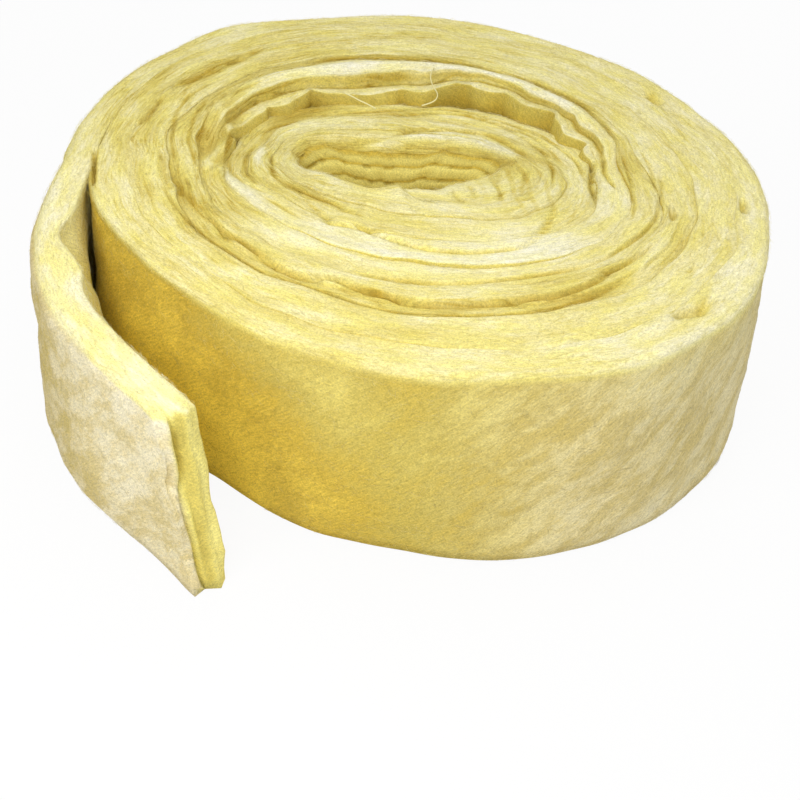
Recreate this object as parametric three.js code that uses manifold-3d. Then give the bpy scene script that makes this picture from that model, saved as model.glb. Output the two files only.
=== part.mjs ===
// Insulation roll: one strip of glass wool, wound on itself and stood on its end.
// Millimetres, +Z up along the winding axis. The floor is at z = 0, and the origin is under the middle of
// the roll's overall box. Turns are counted inwards from the left side, where the outer turn lets go of
// the roll as a loose tail, and run clockwise as seen from above.

import * as THREE from 'three';
import { mergeVertices } from 'three/addons/utils/BufferGeometryUtils.js';
import Module from 'manifold-3d';

// The strip: its cut width stands upright.
const stripWidth = 76.2;
const looseThickness = 12.7;
const pressedThickness = 11.9;                       // wound in the roll
const edgeRounding = 1.7;                            // soft cut edges, which leave a groove at each seam
const sharedWool = 0.9;                              // touching turns run into each other by this much

// The winding: an oval that shrinks by one pressed thickness in each turn.
const woundTurns = 7.75;
const coreHalfLength = 40;
const coreHalfDepth = 26;
const coreSlant = 166;                               // degrees, direction of the long way
const coreMiddle = new THREE.Vector2( - 8, 2.6 );
const outsideSlant = 133;
const outsideMiddle = new THREE.Vector2( - 5, - 3 );

// The bore: a flat lens that stays open in the middle.
const boreHalfLength = 37;
const boreHalfDepth = 19;
const boreMiddle = new THREE.Vector2( - 12.5, 1.5 );

// The crescent gap: at the back, one turn has sprung away from the next.
const sprungTurn = 4;
const crescentWidth = 11;
const crescentPush = 5;                              // the sprung turn is pushed outwards
const crescentFrom = 2;                              // degrees, counter-clockwise from +X
const crescentTo = 168;

// The upper end: the inner turns have slid down at the back and stand proud at the front.
const backDrop = 8;
const frontLift = 2;
const firstSlidTurn = 3;
const lastLevelledTurn = 5.5;

// The tail: from where it lets go to its tip, along its outer face.
const tailTip = new THREE.Vector2( 54.5, - 139.5 );
const tailLettingGo = new THREE.Vector2( - 7, - 72 );
const tailRunOut = new THREE.Vector2( - 40, 46 );
const easing = 2.2;                                  // the outer turn is already loose before it lets go
const easedTurns = 0.06;
const tailSpread = 10;                               // its lower edge stands out where it leaves the roll
const tailTuck = 7;                                  // and is drawn in at the tip
const spreadTurns = 0.03;                            // how far back along the roll the edge stands out

// How finely the strip is divided along its length.
const stationsPerTurn = 40;
const tailStations = 14;

const { degToRad, lerp, smoothstep } = THREE.MathUtils;

const wasm = await Module();
wasm.setup();

// The direction from the middle to the outer face of a turn: left at whole turns, then clockwise.
function outwards( turn ) {

	const angle = Math.PI - 2 * Math.PI * turn;

	return new THREE.Vector2( Math.cos( angle ), Math.sin( angle ) );

}

// A point on an oval in one direction from its middle.
function ovalPoint( direction, middle, halfLength, halfDepth, slant ) {

	const along = new THREE.Vector2( 1, 0 ).rotateAround( new THREE.Vector2(), slant );
	const radius = 1 / Math.hypot( direction.dot( along ) / halfLength, direction.cross( along ) / halfDepth );

	return middle.clone().addScaledVector( direction, radius );

}

// How wide the crescent gap stands open at a turn: 0 outside it, 1 in its middle.
function crescentShare( turn ) {

	const degrees = 180 - 360 * ( turn - sprungTurn );
	const share = ( degrees - crescentFrom ) / ( crescentTo - crescentFrom );

	return share > 0 && share < 1 ? Math.sin( Math.PI * share ) : 0;

}

// The outer face of the wound strip.
function outerPoint( turn ) {

	const wound = turn / woundTurns;
	const growth = pressedThickness * ( woundTurns - turn );
	const slant = degToRad( lerp( outsideSlant, coreSlant, wound ) );
	const middle = outsideMiddle.clone().lerp( coreMiddle, wound );
	const direction = outwards( turn );
	const point = ovalPoint( direction, middle, coreHalfLength + growth, coreHalfDepth + growth, slant );
	const eased = easing * Math.max( 0, 1 - turn / easedTurns ) ** 2;

	return point.addScaledVector( direction, crescentPush * crescentShare( turn ) + eased );

}

// Its inner face: against the next turn, clear of it across the crescent, and round the bore at the end.
function innerPoint( turn ) {

	const direction = outwards( turn );

	if ( turn + 1 > woundTurns ) return ovalPoint( direction, boreMiddle, boreHalfLength, boreHalfDepth, 0 );

	const gap = crescentWidth * Math.sqrt( crescentShare( turn ) );

	return outerPoint( turn + 1 ).addScaledVector( direction, gap - sharedWool );

}

// The height of the upper end.
function topHeight( turn ) {

	const slid = smoothstep( turn, firstSlidTurn, lastLevelledTurn );
	const towardsBack = ( outwards( turn ).y + 1 ) / 2;

	return stripWidth + slid * lerp( frontLift, - backDrop, towardsBack );

}

// One stretch of the strip: extruded straight, with soft edges, and then laid along its stations. A
// station gives the outer and the inner face as seen from above, the height of the upper end, and how
// far the lower edge stands out.
function stripSolid( stations ) {

	const section = new THREE.Shape( [
		new THREE.Vector2( edgeRounding, 0 ),
		new THREE.Vector2( pressedThickness - edgeRounding, 0 ),
		new THREE.Vector2( pressedThickness, edgeRounding ),
		new THREE.Vector2( pressedThickness, stripWidth - edgeRounding ),
		new THREE.Vector2( pressedThickness - edgeRounding, stripWidth ),
		new THREE.Vector2( edgeRounding, stripWidth ),
		new THREE.Vector2( 0, stripWidth - edgeRounding ),
		new THREE.Vector2( 0, edgeRounding ),
	] );
	const steps = stations.length - 1;
	const straight = new THREE.ExtrudeGeometry( section, { steps, depth: steps, bevelEnabled: false } );
	straight.deleteAttribute( 'normal' );
	straight.deleteAttribute( 'uv' );

	const laid = mergeVertices( straight );
	const position = laid.attributes.position;

	for ( let i = 0; i < position.count; i ++ ) {

		const { outer, inner, top, spread } = stations[ Math.round( position.getZ( i ) ) ];
		const height = position.getY( i );
		const standingOut = outer.clone().sub( inner ).normalize();
		const plan = inner.clone().lerp( outer, position.getX( i ) / pressedThickness );
		plan.addScaledVector( standingOut, spread * ( 1 - height / stripWidth ) );

		const lift = height > stripWidth / 2 ? top - stripWidth : 0;
		position.setXYZ( i, plan.x, plan.y, height + lift );

	}

	return new wasm.Manifold( new wasm.Mesh( {
		numProp: 3,
		vertProperties: new Float32Array( position.array ),
		triVerts: new Uint32Array( laid.index.array ),
	} ) );

}

// A station on the wound part.
function woundStation( turn ) {

	return {
		outer: outerPoint( turn ),
		inner: innerPoint( turn ),
		top: topHeight( turn ),
		spread: tailSpread * ( 1 - smoothstep( turn, 0, spreadTurns ) ),
	};

}

// The wound part, in half turns. Each stretch starts one station inside the one before it, so that they
// join with no face left between them.
function woundSolids() {

	const solids = [];
	const count = Math.ceil( woundTurns * stationsPerTurn );
	const stretch = Math.round( stationsPerTurn / 2 );

	for ( let first = 0; first < count; first += stretch ) {

		const stations = [];

		for ( let i = Math.max( first - 1, 0 ); i <= Math.min( first + stretch, count ); i ++ ) {

			stations.push( woundStation( woundTurns * i / count ) );

		}

		solids.push( stripSolid( stations ) );

	}

	return solids;

}

// The tail, from its tip back to where it joins the outer turn.
function tailSolid() {

	const root = outerPoint( 0 );
	const tip = root.clone().add( tailTip );
	const path = new THREE.CubicBezierCurve(
		root, root.clone().add( tailLettingGo ), tip.clone().add( tailRunOut ), tip );
	const stations = [ woundStation( 0 ) ];

	for ( let i = 1; i <= tailStations; i ++ ) {

		const along = i / tailStations;
		const tangent = path.getTangent( along );
		const outer = path.getPoint( along );
		const inner = outer.clone().add( new THREE.Vector2( - tangent.y, tangent.x ).multiplyScalar( looseThickness ) );

		stations.push( { outer, inner, top: stripWidth, spread: lerp( tailSpread, - tailTuck, along ) } );

	}

	return stripSolid( stations.reverse() );

}

// The whole strip as one body, with the origin under the middle of its box.
function insulationStrip() {

	const wool = woundSolids().reduce( ( sum, solid ) => sum.add( solid ), tailSolid() );
	const { vertProperties, triVerts } = wool.getMesh();
	const geometry = new THREE.BufferGeometry();
	geometry.setAttribute( 'position', new THREE.BufferAttribute( vertProperties, 3 ) );
	geometry.setIndex( new THREE.BufferAttribute( triVerts, 1 ) );
	geometry.computeBoundingBox();

	const middle = geometry.boundingBox.getCenter( new THREE.Vector3() );
	geometry.translate( - middle.x, - middle.y, - geometry.boundingBox.min.z );
	geometry.computeVertexNormals();

	const material = new THREE.MeshStandardMaterial( { color: 0xe6d98c, roughness: 0.95, metalness: 0 } );
	const mesh = new THREE.Mesh( geometry, material );
	mesh.name = 'insulation_strip';

	return mesh;

}

const roll = new THREE.Group();
roll.add( insulationStrip() );

export default roll;
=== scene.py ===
import bmesh
import bpy
import numpy as np
from mathutils import Euler, Matrix, Vector


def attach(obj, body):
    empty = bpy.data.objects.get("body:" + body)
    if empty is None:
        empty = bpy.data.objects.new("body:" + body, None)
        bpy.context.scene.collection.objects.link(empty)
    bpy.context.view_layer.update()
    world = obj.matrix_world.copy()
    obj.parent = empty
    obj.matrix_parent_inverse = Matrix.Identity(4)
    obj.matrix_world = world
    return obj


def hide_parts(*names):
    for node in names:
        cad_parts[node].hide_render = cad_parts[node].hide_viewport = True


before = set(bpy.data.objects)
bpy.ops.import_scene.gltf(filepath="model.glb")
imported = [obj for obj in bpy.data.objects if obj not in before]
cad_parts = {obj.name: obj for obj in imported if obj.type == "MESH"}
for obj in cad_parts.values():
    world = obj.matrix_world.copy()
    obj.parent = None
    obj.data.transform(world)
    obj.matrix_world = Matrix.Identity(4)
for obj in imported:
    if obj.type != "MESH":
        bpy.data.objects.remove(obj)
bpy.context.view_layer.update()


# --- Camera -------------------------------------------------------------------------------------
# It stands in front of the roll and looks down over the near wall into the open end.

PITCH = np.radians(40)                     # down from level
ROLL = np.radians(1.87)                    # the horizon's lean
EYE = Vector((0.0036, -0.4308, 0.3383))
LOOKING = Matrix.Rotation(np.pi / 2 - PITCH, 4, "X") @ Matrix.Rotation(ROLL, 4, "Z")
PICTURE_SIDE = 800                         # pixels, of the photo and of the render

camera_data = bpy.data.cameras.new("camera")
camera_data.lens = 65
camera_data.sensor_width = 36
camera_data.clip_start = 0.01
camera = bpy.data.objects.new("camera", camera_data)
camera.matrix_world = Matrix.Translation(EYE) @ LOOKING
bpy.context.scene.collection.objects.link(camera)
bpy.context.scene.camera = camera


def seen_at(pixels, height):
    """Where in plan the points lie that the camera sees at these pixels, if they are at this height."""
    off_middle = (np.array(pixels, float) / PICTURE_SIDE - 0.5) * camera_data.sensor_width / camera_data.lens
    sight = np.column_stack([off_middle[:, 0], -off_middle[:, 1], -np.ones(len(pixels))])
    sight = sight @ np.array(LOOKING.to_3x3()).T
    eye = np.array(EYE)
    return eye[:2] + sight[:, :2] * ((height - eye[2]) / sight[:, 2])[:, None]


# --- Insulation strip ---------------------------------------------------------------------------
# One long strip cut from a blanket of yellow glass wool. It is wound on itself by hand and stands on
# its cut edge, and its turns slip, lean and part from each other because nothing but their own
# springiness holds them.

STRIP_WIDTH = 0.0762
LOOSE_THICKNESS = 0.0127
PRESSED_THICKNESS = 0.0119
TOUCHING = 0.0005                          # neighbouring turns run into each other by this much

# The winding, as in the frame's own solid: ovals that shrink by one pressed thickness each turn.
WOUND_TURNS = 7.75
CORE_HALF_LENGTH, CORE_HALF_DEPTH, CORE_SLANT = 0.040, 0.026, np.radians(166)
CORE_MIDDLE = np.array([-0.008, 0.0026])
OUTSIDE_SLANT = np.radians(133)
OUTSIDE_MIDDLE = np.array([-0.005, -0.003])
BORE_HALF_LENGTH, BORE_HALF_DEPTH = 0.037, 0.019
BORE_MIDDLE = np.array([-0.0125, 0.0015])
SPRUNG_TURN = 4
CRESCENT_WIDTH, CRESCENT_PUSH = 0.011, 0.005
CRESCENT_FROM, CRESCENT_TO = 2, 168
BACK_DROP, FRONT_LIFT = 0.008, 0.002
FIRST_SLID_TURN, LAST_LEVELLED_TURN = 3, 5.5
TAIL_TIP = np.array([0.0545, -0.1395])
TAIL_LETTING_GO = np.array([-0.007, -0.072])
TAIL_RUN_OUT = np.array([-0.040, 0.046])
EASING, EASED_TURNS = 0.0022, 0.06
TAIL_SPREAD, TAIL_TUCK, SPREAD_TURNS = 0.010, 0.007, 0.03

# Where hands have pressed the turns in or left them bulging: turn, reach in turns, outwards by.
DENTS = (
    (0.147, 0.025, 0.0034), (0.205, 0.030, -0.0029), (0.65, 0.05, 0.0019), (0.86, 0.04, -0.0019),
    (0.96, 0.04, 0.0026), (2.50, 0.12, -0.0020), (2.70, 0.10, -0.0030), (3.08, 0.12, -0.0036),
    (3.49, 0.07, -0.0050), (3.70, 0.10, -0.0035), (4.00, 0.08, -0.0024), (4.50, 0.10, -0.0018),
    (5.05, 0.10, -0.0023), (7.05, 0.10, 0.0030), (7.40, 0.25, 0.0025), (7.75, 0.15, 0.0030),
)


def smoothstep(value, low, high):
    share = np.clip((value - low) / (high - low), 0, 1)
    return share * share * (3 - 2 * share)


def bell(value, middle, reach):
    """1 at the middle, and falling smoothly to nearly 0 at twice the reach."""
    return np.exp(-((value - middle) / reach) ** 2)


def hump(turn, places):
    """The sum of smooth humps along the winding, each given as turn, reach in turns and height."""
    return sum(height * bell(turn, middle, reach) for middle, reach, height in places)


def wander(places, reach, seed, waves=10):
    """Seeded unevenness, mostly within -1 and 1, that rises and falls over about one reach."""
    places = np.asarray(places, float)
    places = places[:, None] if places.ndim == 1 else places
    draw = np.random.default_rng(seed)
    heading = draw.normal(size=(waves, places.shape[1]))
    heading /= np.linalg.norm(heading, axis=1)[:, None]
    swing = 2 * np.pi / (np.asarray(reach) * draw.uniform(0.9, 2.4, waves))
    phase = draw.uniform(0, 2 * np.pi, waves)
    return np.sin(places @ (heading * swing[:, None]).T + phase).sum(axis=1) / waves ** 0.5


def outwards(turn):
    """From the middle to the outer face: left at whole turns, then clockwise from above."""
    angle = np.pi - 2 * np.pi * turn
    return np.stack([np.cos(angle), np.sin(angle)], axis=-1)


def oval_point(direction, middle, half_length, half_depth, slant):
    cos, sin = np.cos(slant), np.sin(slant)
    lengthwise = (direction[:, 0] * cos + direction[:, 1] * sin) / half_length
    depthwise = (direction[:, 0] * sin - direction[:, 1] * cos) / half_depth
    return middle + direction / np.hypot(lengthwise, depthwise)[:, None]


def crescent_share(turn):
    degrees = 180 - 360 * (turn - SPRUNG_TURN)
    share = (degrees - CRESCENT_FROM) / (CRESCENT_TO - CRESCENT_FROM)
    return np.where((share > 0) & (share < 1), np.sin(np.pi * np.clip(share, 0, 1)), 0)


def outer_face(turn):
    wound = turn / WOUND_TURNS
    growth = PRESSED_THICKNESS * (WOUND_TURNS - turn)
    slant = OUTSIDE_SLANT + (CORE_SLANT - OUTSIDE_SLANT) * wound
    middle = OUTSIDE_MIDDLE + (CORE_MIDDLE - OUTSIDE_MIDDLE) * wound[:, None]
    direction = outwards(turn)
    point = oval_point(direction, middle, CORE_HALF_LENGTH + growth, CORE_HALF_DEPTH + growth, slant)
    out = CRESCENT_PUSH * crescent_share(turn) + EASING * np.maximum(0, 1 - turn / EASED_TURNS) ** 2
    inside = smoothstep(turn, 0.9, 1.4)
    out += inside * (0.0006 * wander(turn, 0.10, seed=1) + 0.0004 * wander(turn, 0.03, seed=2))
    return point + direction * (out + hump(turn, DENTS))[:, None]


def inner_face(turn):
    direction = outwards(turn)
    bore = oval_point(direction, BORE_MIDDLE, BORE_HALF_LENGTH, BORE_HALF_DEPTH, 0)
    gap = CRESCENT_WIDTH * np.sqrt(crescent_share(turn))
    wound = outer_face(turn + 1) + direction * (gap - TOUCHING)[:, None]
    return np.where((turn + 1 > WOUND_TURNS)[:, None], bore, wound)


# Turns that have slipped up or down past their neighbours, as turn, reach and height.
SLIPS = ((5.10, 0.10, -0.0010), (5.25, 0.25, -0.0010), (4.70, 0.12, 0.0006), (2.75, 0.25, 0.0007),
         (1.85, 0.20, 0.0005), (6.80, 0.25, 0.0008), (7.25, 0.15, -0.0012))


def even_height(turn):
    """The upper end's height without the slips."""
    slid = smoothstep(turn, FIRST_SLID_TURN, LAST_LEVELLED_TURN)
    towards_back = (outwards(turn)[:, 1] + 1) / 2
    return STRIP_WIDTH + slid * (FRONT_LIFT - (FRONT_LIFT + BACK_DROP) * towards_back)


def top_height(turn):
    return even_height(turn) + hump(turn, SLIPS)


# The strip seen from above, in close stations: first the tail from its tip, then turn by turn.
root = outer_face(np.zeros(1))[0]
tip = root + TAIL_TIP
share = np.linspace(1, 0, 160)[:, None]
bends = (root, root + TAIL_LETTING_GO, tip + TAIL_RUN_OUT, tip)
tail_outer = ((1 - share) ** 3 * bends[0] + 3 * (1 - share) ** 2 * share * bends[1]
              + 3 * (1 - share) * share ** 2 * bends[2] + share ** 3 * bends[3])
heading = np.gradient(tail_outer, axis=0)
heading /= -np.linalg.norm(heading, axis=1)[:, None]
tail_inner = tail_outer + LOOSE_THICKNESS * np.stack([-heading[:, 1], heading[:, 0]], axis=1)
wound_turn = np.linspace(0, WOUND_TURNS, 4000)
share = share[:-1, 0]

station_turn = np.concatenate([-0.2 * share, wound_turn])
station_outer = np.concatenate([tail_outer[:-1], outer_face(wound_turn)])
station_inner = np.concatenate([tail_inner[:-1], inner_face(wound_turn)])
station_top = np.concatenate([np.full(len(share), STRIP_WIDTH), top_height(wound_turn)])
station_spread = np.concatenate([
    TAIL_SPREAD + (-TAIL_TUCK - TAIL_SPREAD) * share,
    TAIL_SPREAD * (1 - smoothstep(wound_turn, 0, SPREAD_TURNS))])
station_heading = np.concatenate([-heading[:-1], np.zeros((len(wound_turn), 2))])
facing_wall = outer_face(np.linspace(0.75, 1.0, 120))
tail_gap = np.linalg.norm(tail_inner[:-1, None] - facing_wall[None], axis=2).min(axis=1)
station_gap = np.concatenate([tail_gap, np.zeros(len(wound_turn))])
middle_line = (station_outer + station_inner) / 2
station_along = np.concatenate([[0], np.cumsum(np.linalg.norm(np.diff(middle_line, axis=0), axis=1))])
STRIP_LENGTH = station_along[-1]

# The frame's origin is under the middle of the roll's box.
PLAN_SHIFT = np.array([0.013593, 0.011181])


def at_station(along, values):
    if values.ndim == 1:
        return np.interp(along, station_along, values)
    return np.stack([np.interp(along, station_along, column) for column in values.T], axis=1)


# Where the upper end has opened along a seam or between two plies: depth, half width, how golden
# and dark the wool in and beside the opening is painted, as painted shade, how much higher the wool
# stands on the left of the line, and the line in plan, in millimetres from the middle of the roll.
OPENINGS = (
    (0.0044, 0.0007, 0.75, 0.0008, ((-78, -2), (-74, -9), (-68, -18), (-60, -30), (-55, -38), (-50, -41),
        (-45, -47), (-38, -54), (-34, -57), (-29, -60), (-18, -61), (-14, -64), (-7, -67.5), (3, -71),
        (12, -72.5), (24, -71.5), (36, -70), (50, -66.5), (58, -62.5), (64, -58), (68, -53), (72, -50),
        (80, -42), (86, -34))),
    (0.0042, 0.00062, 0.9, 0, ((-80, -10), (-75, -18), (-70, -27), (-65, -34), (-60, -41), (-50, -50),
        (-45, -55), (-40, -59), (-34, -62), (-28, -64), (-22, -67), (-10, -73), (2, -77), (12, -78),
        (26, -77.5), (40, -75), (50, -72), (62, -65), (70, -58), (80, -48))),
    (0.002, 0.00055, 0.6, 0.0006, ((-12, -57), (-4, -60.5), (10, -62.5), (22, -61.5), (32, -59.5), (44, -56.5),
        (57, -52), (63, -49), (69, -44), (76, -36), (82, -29), (87, -20), (90, -9), (91.5, 1), (92, 9))),
    (0.0037, 0.00062, 0.8, 0.0005, ((-29, -19), (-24.5, -25), (-21, -31), (-16, -32), (-10, -35), (-5, -38),
        (1, -41), (6, -44), (12, -46.3), (20, -47.2), (28, -46), (34, -44.5), (40, -42.5), (46, -37), (50, -28),
        (53, -17), (54, -9))),
    (0.0020, 0.00055, 0.9, 0.0004, ((-47, 31), (-46, 22), (-44.5, 12), (-43, 4), (-41, 0), (-36, -5),
        (-31, -10), (-26, -14.5), (-20, -19), (-17, -23), (-11, -26.5))),
    (0.0037, 0.00086, 1.0, 0, ((-38, 84), (-25, 88), (-14, 90), (0, 90.5), (12, 89), (22, 89), (26, 87.5),
        (31, 84), (40, 80), (48, 76.5), (55, 71.5), (62, 65), (68, 59), (73, 50), (76, 41), (80, 31))),
    (0.0013, 0.00055, 0.6, 0, ((-60, 34), (-60.5, 24), (-60, 12), (-57, 4), (-52, -3), (-45, -9))),
    (0.0012, 0.00055, 0.6, 0, ((-51, 31), (-53, 25), (-54, 15), (-52.5, 5), (-48, -4))),
    (0.0022, 0.00062, 0.8, 0, ((-52, 38), (-47, 44), (-40, 49), (-30, 54.5), (-20, 57.5), (-8, 60), (4, 61.5),
        (15, 64), (24, 63), (33, 58.5), (41, 52), (47, 47), (52, 40), (56, 31), (58, 21))),
    (0.005, 0.0007, 0.9, 0, ((69.5, 21), (69, 14), (67.5, 6), (68, 0), (68.5, -7))),
    (0.003, 0.00062, 0.9, 0, ((73.5, 22), (73, 12), (74.5, 6), (76, 1))),
    (0.0010, 0.0007, 0.5, 0, ((19, -7), (21, -13), (24, -18))),
    (0.0010, 0.0007, 0.5, 0, ((25, -2), (26.5, -7), (27, -12))),
    (0.0010, 0.0007, 0.5, 0, ((36, 12), (34.5, 2), (36, -6), (35, -14))),
    (0.0010, 0.0007, 0.5, 0, ((46, 14), (44, 4), (43, -5), (45, -14))),
    (0.005, 0.00062, 1.0, 0, ((-107, 14), (-106, 8), (-104.6, 0), (-103.4, -9))),
)
# Pale ridges of pulled-up wool: height, half width, how much paler, and the line. The paleness along their crests is a
# painted highlight.
RIDGES = (
    (0.0010, 0.0024, 0.9, ((-70, 58), (-62, 62), (-54, 67), (-47, 72), (-39, 76), (-27, 80), (-14, 83), (0, 84),
        (12, 84), (24, 82), (35, 77), (46, 71), (57, 62), (66, 52), (71, 42), (74, 31))),
    (0.0010, 0.0022, 0.7, ((-69, 49), (-64, 40), (-59, 28), (-64, 15), (-67, 7), (-60, 2), (-54, -6),
        (-44, -22))),
    (0.0006, 0.0050, 0.5, ((-44, -24), (-36, -34), (-26, -42), (-14, -48), (0, -52), (14, -53), (30, -51.5),
        (46, -47), (58, -40), (66, -30))),
    (0.0006, 0.0014, 0.5, ((-48, 27), (-50, 18), (-48, 8))),
    (0.0006, 0.0016, 0.4, ((-34, 14), (-28, 5), (-22, -3), (-17, -9))),
    (0.0008, 0.0020, 0.6, ((35, 33), (40, 28), (43, 24))),
    (0.0004, 0.0026, 0.6, ((-49, -57), (-46, -61))),
    (0.0004, 0.0020, 0.5, ((-79, -13), (-77, -17))),
)
# More of both, by the pixels of the photo at which they are seen.
OPENINGS_SEEN = (
    (0.0032, 0.00125, 0.9, 0, ((170, 87), (187.5, 82.5), (200, 77.5), (220, 67.5), (243, 58), (263, 47))),
    (0.002, 0.00078, 0.7, 0, ((137, 126), (144.5, 120), (152, 111), (166, 94.5))),
    (0.0012, 0.00094, 0.6, 0, ((158.5, 151), (161, 163), (164, 176.5), (170, 192))),
    (0.0015, 0.00047, 0.8, 0, ((520, 76.2), (560, 92.5), (590, 110), (611, 134))),
    (0.0018, 0.00047, 0.7, 0, ((318, 111), (345, 110), (400, 108), (440, 106.5), (470, 109), (500, 118),
        (530, 130), (555, 142), (575, 160), (589, 183.5))),
    (0.0018, 0.00047, 0.8, 0, ((480, 121), (505, 127), (530, 140), (545, 153), (552, 170), (553, 190))),
    (0.0022, 0.00094, 0.7, 0, ((392, 133), (413, 130), (440, 130), (462, 131), (485, 134), (500, 139),
        (515, 148), (527, 157.5))),
    (0.0013, 0.00047, 0.6, 0, ((620.5, 159.5), (629, 183), (634, 206), (632, 223))),
    (0.0013, 0.00047, 0.7, 0, ((640, 151), (651, 170), (655, 189.5))),
    (0.0013, 0.00047, 0.8, 0, ((176, 165), (172, 140), (176, 115), (189, 97), (210, 83))),
    (0.0013, 0.00047, 0.8, 0, ((196, 168), (189, 143), (194, 118), (206, 100))),
    (0.0010, 0.00047, 0.7, 0, ((262, 195.5), (285, 209), (299.5, 216))),
    (0.005, 0.00125, 0.8, 0, ((641, 92), (650, 96), (660, 104))),
    (0.0044, 0.00094, 0.6, 0, ((742, 197), (743, 206), (744, 212))),
    (0.0037, 0.00078, 0.5, 0, ((671, 212), (675, 222))),
    (0.0037, 0.00078, 0.5, 0, ((690, 268), (694, 275.5))),
    (0.005, 0.0014, 0.7, 0, ((671, 313), (687, 312), (700, 310), (709, 300))),
)
RIDGES_SEEN = (
    (0.0012, 0.0022, 0.9, ((352, 142), (375, 141), (400, 137), (425, 135), (450, 136), (475, 141), (495, 147),
        (515, 157))),
)


def on_top(pixels):
    """Where in plan the points of the upper end lie that are seen at these pixels, in whole millimetres."""
    faces = np.concatenate([station_inner, station_outer]) + PLAN_SHIFT
    height = np.full(len(pixels), STRIP_WIDTH)
    for _ in range(8):
        plan = seen_at(pixels, height)
        nearest = np.linalg.norm(plan[:, None] - faces, axis=2).argmin(axis=1)
        height = np.tile(even_height(station_turn), 2)[nearest]
    return np.round(plan * 1000)


OPENINGS += tuple((*shape, on_top(seen)) for *shape, seen in OPENINGS_SEEN)
RIDGES += tuple((*shape, on_top(seen)) for *shape, seen in RIDGES_SEEN)


def along_line(plan, line):
    """The distance of places in plan from a line, the share of the line that they are at, and 1 on its
    left or -1 on its right."""
    line = np.array(line) / 1000
    lengths = np.linalg.norm(np.diff(line, axis=0), axis=1)
    starts = np.concatenate([[0], np.cumsum(lengths)])
    near, share, side = np.full(len(plan), np.inf), np.zeros(len(plan)), np.ones(len(plan))
    for i, (start, end) in enumerate(zip(line[:-1], line[1:])):
        way, from_start = end - start, plan - start
        step = np.clip(from_start @ way / lengths[i] ** 2, 0, 1)
        apart = np.linalg.norm(from_start - step[:, None] * way, axis=1)
        closer = apart < near
        near = np.where(closer, apart, near)
        share = np.where(closer, (starts[i] + step * lengths[i]) / starts[-1], share)
        side = np.where(closer, np.sign(way[0] * from_start[:, 1] - way[1] * from_start[:, 0]), side)
    return near, share, side


def worked(plan):
    """How far the upper end has risen or opened at places in plan, and how golden it is painted there: painted shade
    in and beside the openings, and a paler painted highlight along the ridges.
    """
    rise, sink, gold = np.zeros(len(plan)), np.zeros(len(plan)), np.zeros(len(plan))
    for depth, half_width, golden, step, line in OPENINGS:
        near, share, side = along_line(plan, line)
        closing = np.clip(8 * np.minimum(share, 1 - share), 0, 1) ** 0.6
        patchy = 0.80 + 0.20 * wander(share * 0.2, 0.03, seed=len(line) + int(1e4 * depth), waves=6)
        sink = np.maximum(sink, depth * closing * patchy * bell(near, 0, half_width))
        gold = np.maximum(gold, golden * closing * patchy * bell(near / half_width, 0, 1.8))
        rise += step * closing * smoothstep(near * side, 0, 0.0008) * np.exp(-near / 0.007)
    for height, half_width, paler, line in RIDGES:
        near, share, _ = along_line(plan, line)
        closing = np.clip(6 * np.minimum(share, 1 - share), 0, 1)
        rise += height * closing * bell(near, 0, half_width)
        gold -= paler * closing * bell(near, 0, half_width) * (1 - smoothstep(gold, 0.0, 0.3))
    x = np.abs(plan[:, 0])
    shut = smoothstep(x, 0.025, 0.050) * (1 - smoothstep(x, 0.084, 0.090)) * np.where(plan[:, 0] < 0, 0.60, 0.35)
    return rise - sink * (1 - shut), gold


def stirred(plan):
    """The sideways waves that run through neighbouring turns together, strongest on the left."""
    stronger = 0.5 + 0.4 * smoothstep(-plan[:, 0], 0.030, 0.065)
    waves = [0.0009 * wander(plan, 0.022, seed=seed) + 0.00025 * wander(plan, 0.009, seed=seed + 1)
             for seed in (31, 41)]
    return np.stack(waves, axis=1) * stronger[:, None]


EDGE_RADIUS = 0.0006                       # the least that any cut edge is rounded
PLY_SPACING = 0.0031                       # of the plies that show on the cut face
BULGE_SIZE = (0.045, 0.030)                # of the walls' bulges: along and up
PUSH_REACH = 0.008                         # how deep into a turn its neighbour's push is felt
FREE_DEPTH = (0.006, 0.026)                # below its top a moved turn starts and ends coming back in line
LOWEST = 0.0002                            # clear of the floor
RELIEF_DEPTH = 0.012                       # below the cut face, where its relief has died away
BULGE, SMALL_BULGE = 0.0008, 0.0003
LOW_BULGE = (0.96, 0.06, 0.0040)           # of the wall behind the tail: turn, reach and height
TAIL_PINCHES = ((-0.056, 0.012, 0.0036), (-0.088, 0.014, -0.0022))
PLY_RELIEF, FINE_RELIEF, VALLEY_DEPTH = 0.00016, 0.00003, 0.00028
ROLLED_DOWN = 0.0018                       # the cut face, towards the back of the bore
PILLOW = 0.0028                            # how far the sunk ply's wall bulges between its gathers
# The torn end: how far the tear is felt, how far the skin and its top corner have drawn back, and how
# deep and where across the strip the core has split.
TORN_REACH = 0.009
SKIN_DRAWN_BACK, TOP_DRAWN_BACK = 0.0008, 0.0034
SPLIT_DEPTH, SPLIT_PLACE = 0.0034, 0.72

# The golden ply between the two long openings at the front lies lower: turns and depth.
SUNK_PLY = (2.52, 3.02, 0.0013)

# The sprung turn's upper end is two plies. The inner one has sunk and hangs into the crescent. By turn, in
# millimetres outwards from the turn's own inner face: the sunk ply's rim, the step up to the outer ply,
# how much higher than elsewhere the sunk ply lies, and how far both have pushed the turns behind them.
# Nine of the turns are where the photo shows the step: pixel x, pixel y and height in millimetres.
STEP_SEEN = ((280, 88, 76), (312, 80, 76), (340, 76, 76), (398, 69, 76), (440, 69, 76), (480, 75, 76),
             (530, 92, 76), (560, 112, 73), (590, 132, 73))


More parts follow.
